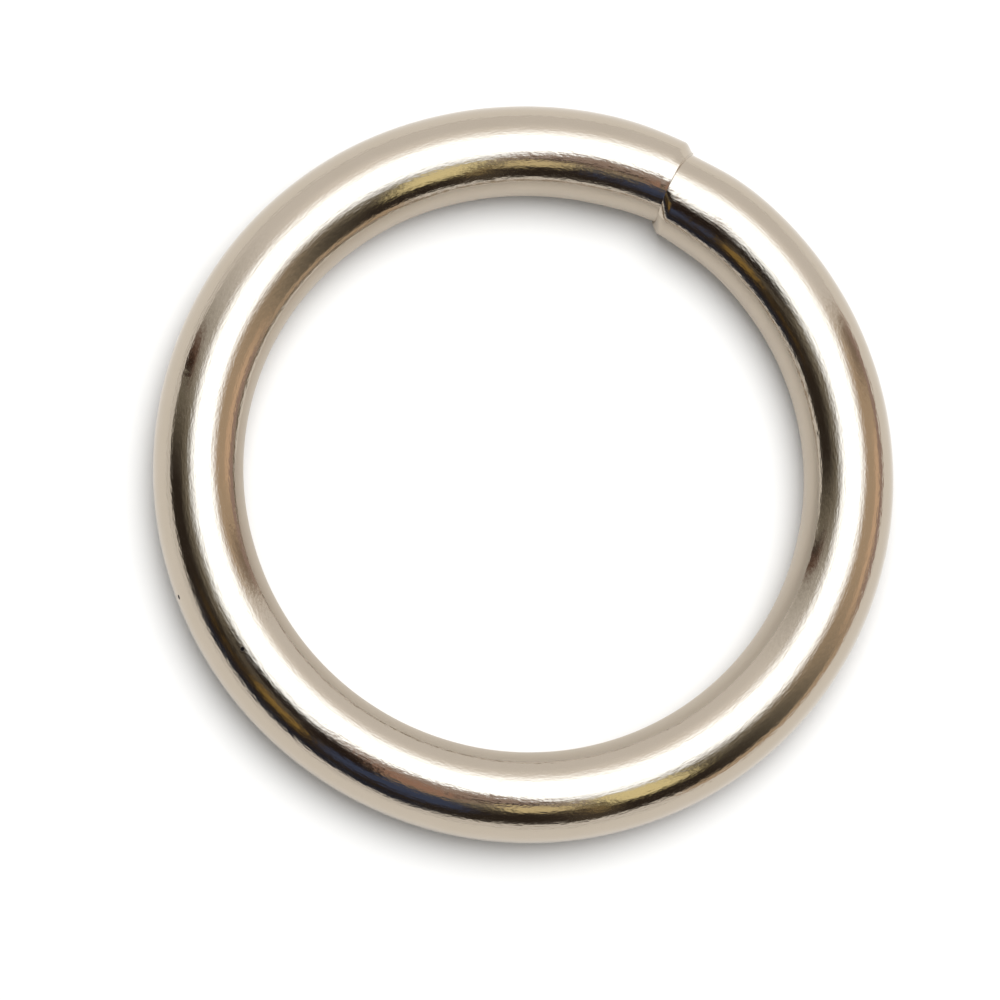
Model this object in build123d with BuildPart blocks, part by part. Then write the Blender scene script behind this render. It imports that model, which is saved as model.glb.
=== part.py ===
from build123d import *
from math import atan2, cos, degrees, radians, sin
import os

# A welded o-ring: one length of round steel wire, coiled into a ring and butt-welded end to end.
# It lies flat: the origin is the ring's centre on the plane that it lies on, with +Z up.

# Driving dimensions, in millimetres
inside_diameter = 25.4  # clear width that a one-inch strap passes through
wire_diameter = 4.1

# The weld, seen from above: the tail meets it counter-clockwise, the lead clockwise
weld_angle = 63.4  # degrees, counter-clockwise from +X
tail_run = 12.0  # last run of the wire, which sprang open a little after coiling
tail_rise = 0.28  # how far its end stands outside the ring's round
tail_draw_length = 1.8  # stretch at the tail's end that the shear drew thinner
tail_draw_down = 0.26  # how much thinner it is at the cut
tail_rounding = 0.22
lead_run = 4.0  # first run of the wire, bent a little tighter than the rest
lead_dip = 0.13  # how far its end stands inside the ring's round
lead_crown = 0.6  # length of the crown that upsetting left at the lead's end
lead_crown_drop = 0.1
trim_overrun = 1.0  # how far each run is made too long before it is cut at the weld

# Worked out from the sizes above
wire_radius = wire_diameter / 2
ring_radius = (inside_diameter + wire_diameter) / 2
tail_angle = degrees(tail_run / ring_radius)
lead_angle = degrees(lead_run / ring_radius)
main_angle = 360 - tail_angle - lead_angle
tail_start = weld_angle + tail_angle
lead_start = weld_angle - lead_angle


def end_arc(angle, end_radius):
    """An arc that leaves the ring in line with it and is this far from the ring's centre after this angle.

    Gives how far the arc's own centre is from the ring's, and the degrees that the arc turns, with overrun.
    """
    reach = end_radius * cos(radians(angle))
    bend_radius = (end_radius**2 + ring_radius**2 - 2 * ring_radius * reach) / (2 * (ring_radius - reach))
    centre_offset = ring_radius - bend_radius
    sweep = degrees(atan2(end_radius * sin(radians(angle)), reach - centre_offset))
    return centre_offset, sweep + degrees(trim_overrun / bend_radius)


def outward(angle):
    """The direction from the ring's centre at this angle."""
    return Vector(cos(radians(angle)), sin(radians(angle)), 0)


def wire_section(angle):
    """The plane across the wire at this angle, facing counter-clockwise."""
    centre = outward(angle) * ring_radius + Vector(0, 0, wire_radius)
    return Plane(origin=centre, x_dir=outward(angle), z_dir=outward(angle + 90))


weld_plane = wire_section(weld_angle)
along_wire = Axis(weld_plane.origin, weld_plane.z_dir)

# The tail: a wider arc that rises outside the ring, drawn down towards its cut, with its burr tumbled round
tail_offset, tail_sweep = end_arc(tail_angle, ring_radius + tail_rise)
with BuildPart() as tail:
    with BuildSketch(wire_section(tail_start)):
        Circle(wire_radius)
    revolve(
        axis=Axis(outward(tail_start) * tail_offset, (0, 0, -1)),
        revolution_arc=tail_sweep,
    )
    split(bisect_by=weld_plane, keep=Keep.TOP)
    chamfer(
        tail.edges().sort_by(along_wire)[0],
        length=tail_draw_length,
        length2=tail_draw_down / 2,
        reference=tail.faces().filter_by(GeomType.TORUS)[0],
    )
    fillet(tail.edges().sort_by(along_wire)[0], radius=tail_rounding)

# The lead: a tighter arc that dips inside the ring, crowned where the weld upset its end
lead_offset, lead_sweep = end_arc(lead_angle, ring_radius - lead_dip)
with BuildPart() as lead:
    with BuildSketch(wire_section(lead_start)):
        Circle(wire_radius)
    revolve(
        axis=Axis(outward(lead_start) * lead_offset, (0, 0, 1)),
        revolution_arc=lead_sweep,
    )
    split(bisect_by=weld_plane, keep=Keep.BOTTOM)
    chamfer(
        lead.edges().sort_by(along_wire)[-1],
        length=lead_crown,
        length2=lead_crown_drop,
        reference=lead.faces().filter_by(GeomType.TORUS)[0],
    )

# The ring: the even stretch of the coil, with both ends welded into one solid
with BuildPart() as welded_ring:
    with BuildSketch(wire_section(tail_start)):
        Circle(wire_radius)
    revolve(axis=Axis.Z, revolution_arc=main_angle)
    add(tail.part)
    add(lead.part)

welded_ring.part.label = "welded_ring"
os.makedirs("parts", exist_ok=True)
export_step(welded_ring.part, "parts/welded_ring.step")
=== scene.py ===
import math

import bpy
import numpy as np
from mathutils import Matrix, Vector, noise


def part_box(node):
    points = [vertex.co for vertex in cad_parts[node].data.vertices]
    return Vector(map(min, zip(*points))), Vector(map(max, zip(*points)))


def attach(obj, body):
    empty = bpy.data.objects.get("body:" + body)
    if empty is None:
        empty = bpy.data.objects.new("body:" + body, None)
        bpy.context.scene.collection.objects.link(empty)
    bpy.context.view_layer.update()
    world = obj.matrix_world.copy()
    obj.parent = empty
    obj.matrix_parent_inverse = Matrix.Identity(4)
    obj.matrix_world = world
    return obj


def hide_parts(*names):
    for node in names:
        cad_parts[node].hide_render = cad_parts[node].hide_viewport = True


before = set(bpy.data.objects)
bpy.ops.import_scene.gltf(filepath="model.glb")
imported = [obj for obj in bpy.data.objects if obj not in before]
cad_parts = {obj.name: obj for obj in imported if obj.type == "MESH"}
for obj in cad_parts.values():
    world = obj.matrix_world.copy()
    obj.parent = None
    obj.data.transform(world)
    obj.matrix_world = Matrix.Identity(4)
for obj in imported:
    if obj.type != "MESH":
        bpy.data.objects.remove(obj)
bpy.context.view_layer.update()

# Units: every length below is in millimetres until it is multiplied by MM
MM = 0.001

# Sizes that the solid in model.glb gives
node_low, node_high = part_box("welded_ring")
wire_radius = (node_high.z - node_low.z) / MM / 2
ring_radius = (node_high.x - node_low.x) / MM / 2 - wire_radius

# The two ends of the wire, set from the photograph and within 0.1 mm of the solid's: the tail comes to the
# weld on a wider arc, the lead on a tighter one, and both are drawn thinner towards their cuts
weld_angle = math.radians(63.4)
tail_run = 12.0
tail_rise = 0.32
tail_draw_length = 3.4
tail_draw_down = 0.18
lead_run = 4.0
lead_dip = 0.09
lead_draw_length = 2.6
lead_draw_down = 0.16

# How the weld melted the two cut edges: each is rounded off over a length, down to the end that stands lower
# but for a ledge that is left, and no less and no more than the two depths
tail_melt = 0.45
tail_melt_depths = (0.02, 0.4)
tail_ledge = 0.08
lead_crown = 0.55
lead_crown_depths = (0.0, 0.32)
lead_ledge = 0.1

# The seam between the two ends, which the weld nearly filled
seam_width = 0.03
seam_depth = 0.004

# The shear didn't cut quite square: how far the seam stands towards the lead all round, further on the
# outside, and as a bow, and the length of wire over which this fades away
seam_shift = 0.03
seam_slant = 0.07
seam_bow = 0.15
seam_spread = 2.0

# How the wire's skin is divided, with shorter steps along it at the weld and on the melted edges
points_around = 92
station_step = 0.105
weld_run = 1.2
weld_step = 0.035
rounding_steps = 12

# Coiling on a mandrel: the inside of the bend is a little flat, with shoulders a little fuller than round.
# Both are shares of the wire's radius, and a higher power keeps them closer to the inside
inside_flatness_share = 0.02
flatness_power = 8
shoulder_fullness_share = 0.14
shoulder_power = 6

# Waviness that drawing, coiling and tumbling left in the wire, as sizes and depths, and how much longer
# than wide it is
wave_sizes = ((2.6, 0.008), (0.9, 0.004), (0.45, 0.0016))
wave_stretch = 2.6

# The plate's haze: its size, the tones where it is thinnest and thickest, and two levels of it with the
# roughness at each
haze_size = 1.4
nickel_tones = ("#B9AD9C", "#BEB2A3")
haze_levels = (0.3, 0.7)
nickel_roughness = (0.09, 0.15)

# Marks in the plate, as width, length and depth: real ones are finer, and these are as coarse as they need
# to be to show
die_lines = (0.11, 2.0, 0.003)
tumble_marks = (0.1, 0.3, 0.006)

# A duller band along the inside of the ring: how far in from the wire's middle it starts and is full, as
# shares of the wire's radius, and the roughness that it adds
dull_shares = (0.785, 0.825)
dull_roughness = 0.34

# Over a stretch of the ring the band starts sooner by a share: in full up to the first distance from the
# stretch's middle, and not at all past the second
dull_rise_share = 0.11
dull_rise_angle = math.radians(270)
dull_rise_reach = (17.0, 27.0)

# Pinholes in the plate: degrees round the ring from +X, and degrees up from the ring's outermost line
pinholes = ((213.4, 72.5), (201.0, 16.0))
pinhole_radius = 0.08
pinhole_rim = 0.04
# The pinholes are real, but their dark colour is painted shade that stands in for the pits, which the mesh
# has no dent for
pinhole_shade_colour = "#241F20"
pinhole_roughness = 0.5

# The paper that the ring lies on
paper_colour = "#F7F7F6"
paper_half_size = 1200.0

# The lamp's middle and the angle to its rim, as the ring sees it
lamp_azimuth = 66.0
lamp_zenith = 13.0
lamp_distance = 420.0
lamp_half_angle = math.radians(22)
lamp_radiance = 6.0

# The lamp's glowing face, as the metal mirrors it: an oval that fades over the last degrees of its reach
face_azimuth = 61.0
face_zenith = 9.5
face_width_share = 0.86
face_reach = 44
face_fade = 28
face_distance = 340
face_colour = "#E6F1FF"
face_strength = 3.1

# The white room: how strongly it lights the paper, where 1 is what the camera and the metal see
room_colour = "#FFFFFF"
room_light = 0.38

# Cards that stand for the rest of the room in the metal. Each has a name, azimuths, angles from straight up,
# a colour, a strength, fades at its four edges in degrees, and a distance
card_steps = 24
cards = (
    ("pale_glow", (24, 134), (24, 68), "#FFFFFF", 1.45, (16, 30, 6, 38), 405),
    ("right_screen", (300, 397), (8, 91), "#D6C1A9", 1.0, (8, 11, 6, 3), 400),
    ("brown_screen", (124, 362), (4, 82), "#8F8A7D", 1.0, (38, 42, 4, 6), 395),
    ("dark_screen", (152, 345), (32, 79.5), "#39322C", 1.0, (22, 36, 22, 4), 390),
    ("low_dark_screen", (190, 268), (64, 84.5), "#2A2E3E", 1.0, (14, 18, 12, 4), 388),
    ("brown_gap", (282, 296), (44, 82), "#564E44", 1.0, (4, 5, 8, 5), 386),
    ("pale_gap", (287.5, 293.5), (40, 66), "#9A8A66", 1.0, (2, 2, 6, 10), 384),
    ("tan_strip", (338, 378), (60, 79), "#FADBBE", 1.0, (18, 6, 8, 5), 385),
    ("low_strip", (340, 394), (75, 91), "#B8A29C", 1.0, (14, 6, 5, 4), 380),
    ("olive_strip", (380, 394), (48, 87), "#9A897A", 1.0, (6, 5, 22, 6), 380),
    ("red_brown_strip", (144.5, 155.5), (44, 84), "#74594C", 1.0, (5, 3, 16, 6), 385),
    ("black_strip", (149.5, 156), (50, 84), "#3A2C24", 1.0, (3, 2, 14, 6), 382),
    ("faint_gold_card", (190, 215), (54, 64), "#5C4C30", 1.0, (9, 7, 4, 4), 381),
    ("gold_card", (213, 231), (43, 62), "#A88C50", 1.0, (5, 5, 7, 7), 380),
    ("blue_card", (231, 269), (36, 65), "#4A5676", 1.0, (5, 8, 8, 12), 380),
    ("near_card", (224, 298), (2, 39), "#B4A29A", 1.0, (20, 10, 9, 12), 275),
    ("amber_card", (244, 268), (17, 40), "#BC9887", 1.0, (5, 6, 4, 8), 270),
    ("yellow_card", (271, 290), (30, 50), "#FFF0BF", 1.0, (4, 5, 6, 6), 210),
    ("pale_yellow_card", (292, 315), (22, 56), "#FFF5C0", 1.2, (5, 8, 10, 8), 210),
    ("left_dark_card", (198, 229), (19, 44), "#2E2622", 1.0, (10, 5, 10, 8), 262),
    ("near_dark_card", (223, 249), (17, 50), "#2E2622", 1.0, (6, 5, 10, 8), 260),
    ("thin_dark_strip", (264, 290), (24, 32), "#3A3230", 1.0, (5, 5, 3, 3), 206),
)

# The camera, in the photograph's frame of 1000 by 1000 pixels
frame_pixels = 1000
ring_centre_pixel = (525.5, 471.8)
pixels_per_mm = 22.15
camera_distance = 232.0
camera_tilt = math.radians(10.7)
camera_azimuth = math.radians(237.0)
sensor_width = 36.0
nearest_seen = 10.0


def linear(hex_colour):
    """An sRGB hex colour as the linear RGBA that shaders take."""
    channels = [int(hex_colour[i:i + 2], 16) / 255 for i in (1, 3, 5)]
    return [c / 12.92 if c <= 0.04045 else ((c + 0.055) / 1.055) ** 2.4 for c in channels] + [1.0]


def add(tree, kind, links=(), **settings):
    """Adds one node, sets its properties or sockets by name, and links sockets to other nodes' outputs."""
    node = tree.nodes.new(kind)
    for name, value in settings.items():
        if hasattr(node, name):
            setattr(node, name, value)
        else:
            node.inputs[name.replace("_", " ")].default_value = value
    for socket, output in dict(links).items():
        tree.links.new(output, node.inputs[socket])
    return node


def new_material(name):
    material = bpy.data.materials.new(name)
    material.use_nodes = True
    material.node_tree.nodes.clear()
    return material, material.node_tree


def new_piece(name, points, faces, material):
    mesh = bpy.data.meshes.new(name)
    mesh.from_pydata([tuple(p) for p in points], [], faces)
    mesh.materials.append(material)
    piece = bpy.data.objects.new(name, mesh)
    bpy.context.scene.collection.objects.link(piece)
    return piece


# The ring

def melted(from_end, length):
    """Falls from 1 at the cut to 0 at this length from it, level at both ends."""
    into = np.clip(1 - from_end / length, 0, 1)
    return into**2 * (3 - 2 * into)


def crowned(from_end, length):
    """Falls from 1 at the cut to 0 at this length from it, steepest at the cut."""
    return np.clip(1 - from_end / length, 0, 1) ** 2


def tail_reach(turn):
    """How far the tail's wider arc is from the ring's centre, at an angle past the place where it starts."""
    end_radius = ring_radius + tail_rise
    reach = end_radius * math.cos(tail_run / ring_radius)
    bend_radius = (end_radius**2 + ring_radius**2 - 2 * ring_radius * reach) / (2 * (ring_radius - reach))
    offset = ring_radius - bend_radius
    return offset * np.cos(turn) + np.sqrt(bend_radius**2 - (offset * np.sin(turn)) ** 2)


def centreline(angle):
    """The wire's distance from the ring's centre at an angle past the weld."""
    on_tail = tail_reach(np.maximum(tail_run / ring_radius - angle, 0))
    return on_tail - lead_dip * melted((2 * math.pi - angle) * ring_radius, lead_run)


def end_steps(rounding):
    """Distances from a cut end: closest together on the rounding, and then even as far as the weld's run."""
    on_rounding = rounding * (1 - np.cos(np.linspace(0, math.pi / 2, rounding_steps)))
    return np.concatenate([on_rounding, np.arange(rounding, weld_run, weld_step)[1:]])


def stations():
    """Places along the wire from the tail's end to the lead's, closer together at the weld."""
    length = 2 * math.pi * ring_radius - seam_width
    between = np.linspace(weld_run, length - weld_run, int((length - 2 * weld_run) / station_step))
    return np.concatenate([end_steps(tail_melt), between, length - end_steps(lead_crown)[::-1]]), length


def waviness(along, around):
    """How far the skin stands in or out, from slow dents to short ripples, all drawn out along the wire."""
    straight = Vector((wire_radius * math.cos(around), wire_radius * math.sin(around), along / wave_stretch))
    return sum(depth * noise.noise(straight / size) for size, depth in wave_sizes)


def skin_radius(along, length, around):
    """How far the skin is from the wire's middle, at places along the wire and around it."""
    from_lead = length - along
    ripple = np.array([[waviness(a, t) for t in around] for a in along])
    ripple *= np.clip(np.minimum(along, from_lead) / lead_crown, 0, 1)[:, None]
    drawn_down = tail_draw_down / 2 * melted(along, tail_draw_length)
    drawn_down += lead_draw_down / 2 * melted(from_lead, lead_draw_length)
    inside = np.maximum(-np.cos(around), 0)
    shoulders = shoulder_fullness_share * inside**shoulder_power * np.sin(around) ** 2
    coiled = shoulders - inside_flatness_share * inside**flatness_power
    radius = wire_radius * (1 + coiled) - drawn_down[:, None] + ripple

    # Each cut edge melts down to the end that stands lower there
    step = (tail_rise + lead_dip) * np.cos(around) - (tail_draw_down - lead_draw_down) / 2
    radius -= np.outer(melted(along, tail_melt), np.clip(step - tail_ledge, *tail_melt_depths))
    radius -= np.outer(crowned(from_lead, lead_crown), np.clip(-step - lead_ledge, *lead_crown_depths))
    return radius


def seam_bottom(out, up):
    """The bottom of the seam, a little below whichever end stands lower."""
    from_middle = np.hypot(out[[0, -1]] - ring_radius, up[[0, -1]] - wire_radius)
    lower = np.where(from_middle[0] < from_middle[1], 0, -1)
    place = np.arange(points_around)
    direction = np.arctan2(up[lower, place] - wire_radius, out[lower, place] - ring_radius)
    seam = from_middle.min(axis=0) - seam_depth
    return ring_radius + seam * np.cos(direction), wire_radius + seam * np.sin(direction)


def ring_mesh(material):
    """The wire's skin in rows of points, from the tail's end to the lead's, with the seam as the last row."""
    along, length = stations()
    past_weld = (along + seam_width / 2) / ring_radius
    around = np.linspace(0, 2 * math.pi, points_around, endpoint=False)
    radius = skin_radius(along, length, around)

    # Each row lies on a line from the ring's centre, so it is wider where the wire runs aslant of that
    centre = centreline(past_weld)
    slope = np.gradient(centre, past_weld) / centre
    out = centre[:, None] + radius * np.sqrt(1 + slope**2)[:, None] * np.cos(around)
    up = wire_radius + radius * np.sin(around)
    seam_out, seam_up = seam_bottom(out, up)
    out = np.vstack([out, seam_out])
    up = np.vstack([up, seam_up])

    # The rows near the seam sway with it
    near_seam = np.append(melted(np.minimum(along, length - along), seam_spread), 1.0)
    towards_lead = seam_shift + seam_slant * np.cos(around) + seam_bow * np.cos(2 * around)
    angle = np.append(weld_angle + past_weld, weld_angle)[:, None]
    angle = angle - np.outer(near_seam, towards_lead) / ring_radius
    points = np.stack([out * np.cos(angle), out * np.sin(angle), up], axis=-1).reshape(-1, 3) * MM

    rows, columns = out.shape
    faces = []
    for row in range(rows):
        here = row * columns
        ahead = (row + 1) % rows * columns
        for j in range(columns):
            k = (j + 1) % columns
            faces.append((here + j, ahead + j, ahead + k, here + k))
    ring = new_piece("nickel_ring", points, faces, material)
    mesh = ring.data
    mesh.polygons.foreach_set("use_smooth", [True] * len(mesh.polygons))

    # The crease at the bottom of the seam stays crisp
    seam_row = rows - 1
    crisp = [all(v // columns == seam_row for v in edge.vertices) for edge in mesh.edges]
    mesh.attributes.new("sharp_edge", "BOOLEAN", "EDGE").data.foreach_set("value", crisp)

    # Each point's place on the wire as if it were straight, for the finish to follow
    straight = np.stack([
        np.broadcast_to(wire_radius * np.cos(around), out.shape),
        np.broadcast_to(wire_radius * np.sin(around), out.shape),
        np.broadcast_to(np.append(along, length)[:, None], out.shape),
    ], axis=-1)
    mesh.attributes.new("straight_wire", "FLOAT_VECTOR", "POINT").data.foreach_set("vector", straight.ravel())
    return ring


def along_wire(angle):
    """How far along the straightened wire a place at this angle round the ring is."""
    return (angle - weld_angle) * ring_radius


# Bright nickel, electroplated over drawn and tumbled steel wire: a warm grey mirror whose reflections have
# ragged edges, from long fine die lines and the short marks of tumbling, with a haze that comes and goes, a
# duller inside of the ring and two pinholes, whose dark colour is painted shade as the mesh has no dent for
# them
def nickel_plate():
    material, tree = new_material("bright_nickel_plate")
    place = add(tree, "ShaderNodeAttribute", attribute_name="straight_wire").outputs["Vector"]

    # The haze
    haze = add(tree, "ShaderNodeTexNoise", {"Vector": place}, Scale=1 / haze_size, Detail=4.0, Roughness=0.6)
    tone = add(tree, "ShaderNodeMix", {0: haze.outputs["Fac"]}, data_type="RGBA")
    tone.inputs[6].default_value = linear(nickel_tones[0])
    tone.inputs[7].default_value = linear(nickel_tones[1])
    tone = tone.outputs[2]
    hazed = add(tree, "ShaderNodeMapRange", {"Value": haze.outputs["Fac"]},
                From_Min=haze_levels[0], From_Max=haze_levels[1],
                To_Min=nickel_roughness[0], To_Max=nickel_roughness[1])

    # The duller inside
    away = add(tree, "ShaderNodeVectorMath", {0: place}, operation="DISTANCE")
    away.inputs[1].default_value = (-wire_radius, 0, along_wire(dull_rise_angle))
    rise = add(tree, "ShaderNodeMapRange", {"Value": away.outputs["Value"]}, interpolation_type="SMOOTHSTEP",
               From_Min=dull_rise_reach[1], From_Max=dull_rise_reach[0], To_Max=dull_rise_share * wire_radius)
    sides = add(tree, "ShaderNodeSeparateXYZ", {"Vector": place})
    inward = add(tree, "ShaderNodeMath", {0: rise.outputs["Result"], 1: sides.outputs["X"]},
                 operation="SUBTRACT")
    dull = add(tree, "ShaderNodeMapRange", {"Value": inward.outputs[0]}, interpolation_type="SMOOTHSTEP",
               From_Min=dull_shares[0] * wire_radius, From_Max=dull_shares[1] * wire_radius,
               To_Max=dull_roughness)
    roughness = add(tree, "ShaderNodeMath", {0: hazed.outputs["Result"], 1: dull.outputs["Result"]},
                    operation="ADD").outputs[0]

    # The pinholes: painted shade, a dark colour in each, with more roughness, where the mesh has no dent
    for angle, height in pinholes:
        lift = math.radians(height)
        away = add(tree, "ShaderNodeVectorMath", {0: place}, operation="DISTANCE")
        away.inputs[1].default_value = (
            wire_radius * math.cos(lift), wire_radius * math.sin(lift), along_wire(math.radians(angle)))
        in_pinhole = add(tree, "ShaderNodeMapRange", {"Value": away.outputs["Value"]},
                   interpolation_type="SMOOTHSTEP",
                   From_Min=pinhole_radius + pinhole_rim, From_Max=pinhole_radius).outputs["Result"]
        pinhole_shaded = add(tree, "ShaderNodeMix", {0: in_pinhole, 6: tone}, data_type="RGBA")
        pinhole_shaded.inputs[7].default_value = linear(pinhole_shade_colour)
        tone = pinhole_shaded.outputs[2]
        dulled = add(tree, "ShaderNodeMix", {0: in_pinhole, 2: roughness}, data_type="FLOAT")
        dulled.inputs[3].default_value = pinhole_roughness
        roughness = dulled.outputs[0]

    # The die lines and tumbling marks
    marks = []
    for width, length, depth in (die_lines, tumble_marks):
        drawn = add(tree, "ShaderNodeVectorMath", {0: place}, operation="MULTIPLY")
        drawn.inputs[1].default_value = (1 / width, 1 / width, 1 / length)
        texture = add(tree, "ShaderNodeTexNoise", {"Vector": drawn.outputs[0]},
                      Scale=1.0, Detail=1.5, Roughness=0.5)
        marks.append(add(tree, "ShaderNodeBump", {"Height": texture.outputs["Fac"]},
                         Strength=1.0, Distance=depth * MM))
    lined, tumbled = marks
    tree.links.new(lined.outputs["Normal"], tumbled.inputs["Normal"])

    skin = add(tree, "ShaderNodeBsdfPrincipled",
               {"Base Color": tone, "Roughness": roughness, "Normal": tumbled.outputs["Normal"]},
               Metallic=1.0)
    add(tree, "ShaderNodeOutputMaterial", {"Surface": skin.outputs["BSDF"]})
    return material


# Uncoated white paper: dead matt, so it takes the soft shadow and gives no shine
def white_paper():
    material, tree = new_material("white_paper")
    skin = add(tree, "ShaderNodeBsdfDiffuse", Color=linear(paper_colour))
    add(tree, "ShaderNodeOutputMaterial", {"Surface": skin.outputs["BSDF"]})
    return material


def floor():
    half = paper_half_size * MM
    corners = [(-half, -half, 0), (half, -half, 0), (half, half, 0), (-half, half, 0)]
    sheet = new_piece("paper_floor", corners, [(0, 1, 2, 3)], white_paper())


# Light: one round soft lamp overhead, and cards round the ring for the metal to mirror

def glowing(name, colour, strength, edges):
    """A card's surface: it glows evenly and fades out over the given degrees at its edges."""
    material, tree = new_material(name)
    place = add(tree, "ShaderNodeUVMap", uv_map="card")
    axes = add(tree, "ShaderNodeSeparateXYZ", {"Vector": place.outputs["UV"]})
    fades = [add(tree, "ShaderNodeMapRange", {"Value": axes.outputs[axis]},
                 interpolation_type="SMOOTHSTEP", From_Min=edge, From_Max=full).outputs["Result"]
             for axis, edge, full in edges if edge != full]
    mask = fades[0]
    for fade in fades[1:]:
        mask = add(tree, "ShaderNodeMath", {0: mask, 1: fade}, operation="MULTIPLY").outputs[0]
    glow = add(tree, "ShaderNodeEmission", Color=linear(colour), Strength=strength)
    clear = add(tree, "ShaderNodeBsdfTransparent")
    skin = add(tree, "ShaderNodeMixShader", {0: mask, 1: clear.outputs["BSDF"], 2: glow.outputs["Emission"]})
    add(tree, "ShaderNodeOutputMaterial", {"Surface": skin.outputs["Shader"]})
    material.cycles.emission_sampling = "NONE"
    return material


def towards(azimuth, zenith):
    """The direction at degrees of azimuth and degrees from straight up."""
    a = math.radians(azimuth)
    z = math.radians(zenith)
    return Vector((math.sin(z) * math.cos(a), math.sin(z) * math.sin(a), math.cos(z)))


def mirrored_card(name, azimuths, zeniths, colour, strength, fades, distance, turned=None):
    """A curved card that only reflections see, over ranges of azimuth and of angle from straight up."""
    edges = (
        ("X", azimuths[0], azimuths[0] + fades[0]),
        ("X", azimuths[1], azimuths[1] - fades[1]),
        ("Y", zeniths[0], zeniths[0] + fades[2]),
        ("Y", zeniths[1], zeniths[1] - fades[3]),
    )
    across = card_steps + 1
    grid = [(azimuth, zenith)
            for zenith in np.linspace(*zeniths, across) for azimuth in np.linspace(*azimuths, across)]
    faces = [(j * across + i, j * across + i + 1, (j + 1) * across + i + 1, (j + 1) * across + i)
             for j in range(card_steps) for i in range(card_steps)]
    points = [towards(*place) * distance * MM for place in grid]
    if turned:
        points = [turned @ point for point in points]
    card = new_piece(name, points, faces, glowing(name, colour, strength, edges))
    uv = card.data.uv_layers.new(name="card")
    for loop in card.data.loops:
        uv.data[loop.index].uv = grid[loop.vertex_index]
    card.visible_camera = False
    card.visible_diffuse = False
    card.visible_shadow = False
    card.visible_transmission = False


def soft_lamp():
    """Lights the paper and casts the soft shadow. The metal mirrors only its glowing face, a card."""
    radius = lamp_distance * math.tan(lamp_half_angle) * MM
    data = bpy.data.lights.new("soft_lamp", "AREA")
    data.shape = "DISK"
    data.size = 2 * radius
    data.energy = lamp_radiance * math.pi * math.pi * radius**2
    lamp = bpy.data.objects.new("soft_lamp", data)
    facing = towards(lamp_azimuth, lamp_zenith)
    lamp.location = facing * lamp_distance * MM
    lamp.rotation_euler = facing.to_track_quat("Z", "Y").to_euler()
    lamp.visible_glossy = False
    bpy.context.scene.collection.objects.link(lamp)
    upright = towards(face_azimuth, face_zenith).to_track_quat("Z", "Y").to_matrix()
    oval = upright @ Matrix.Diagonal((face_width_share, 1, 1))
    mirrored_card("lamp_face", (0, 360), (0, face_reach), face_colour, face_strength,
                  (0, 0, 0, face_fade), face_distance, oval)


def studio():
    soft_lamp()
    for card in cards:
        mirrored_card(*card)

    # The room is white to the camera and to the metal, and lights the paper only a little
    world = bpy.data.worlds.new("white_room")
    world.use_nodes = True
    tree = world.node_tree
    tree.nodes.clear()
    rays = add(tree, "ShaderNodeLightPath")
    seen = add(tree, "ShaderNodeMath", {0: rays.outputs["Is Camera Ray"], 1: rays.outputs["Is Glossy Ray"]},
               operation="MAXIMUM")
    seen = add(tree, "ShaderNodeMath", {0: seen.outputs[0], 1: rays.outputs["Is Transmission Ray"]},
               operation="MAXIMUM")
    level = add(tree, "ShaderNodeMapRange", {"Value": seen.outputs[0]}, To_Min=room_light, To_Max=1.0)
    glow = add(tree, "ShaderNodeBackground", {"Strength": level.outputs["Result"]}, Color=linear(room_colour))
    add(tree, "ShaderNodeOutputWorld", {"Surface": glow.outputs["Background"]})
    bpy.context.scene.world = world


def camera():
    """Looks down on the ring from a little to its lower left, with the ring off the frame's middle."""
    back = Vector((math.sin(camera_tilt) * math.cos(camera_azimuth),
                   math.sin(camera_tilt) * math.sin(camera_azimuth), math.cos(camera_tilt)))
    right = Vector((0, 1, 0)).cross(back).normalized()
    up = back.cross(right)
    off_right = (ring_centre_pixel[0] - frame_pixels / 2) / pixels_per_mm
    off_up = (frame_pixels / 2 - ring_centre_pixel[1]) / pixels_per_mm
    aim = Vector((0, 0, wire_radius)) - right * off_right - up * off_up
    lens = bpy.data.cameras.new("camera")
    lens.sensor_width = sensor_width
    lens.lens = sensor_width * camera_distance * pixels_per_mm / frame_pixels
    lens.clip_start = nearest_seen * MM
    eye = bpy.data.objects.new("camera", lens)
    eye.location = (aim + back * camera_distance) * MM
    turned = eye.matrix_basis.to_3x3()
    turned.col[0], turned.col[1], turned.col[2] = right, up, back
    eye.rotation_euler = turned.to_euler()
    bpy.context.scene.collection.objects.link(eye)
    bpy.context.scene.camera = eye


ring = ring_mesh(nickel_plate())
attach(ring, "root")
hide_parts("welded_ring")
floor()
studio()
camera()
bpy.context.scene.view_settings.view_transform = "Standard"
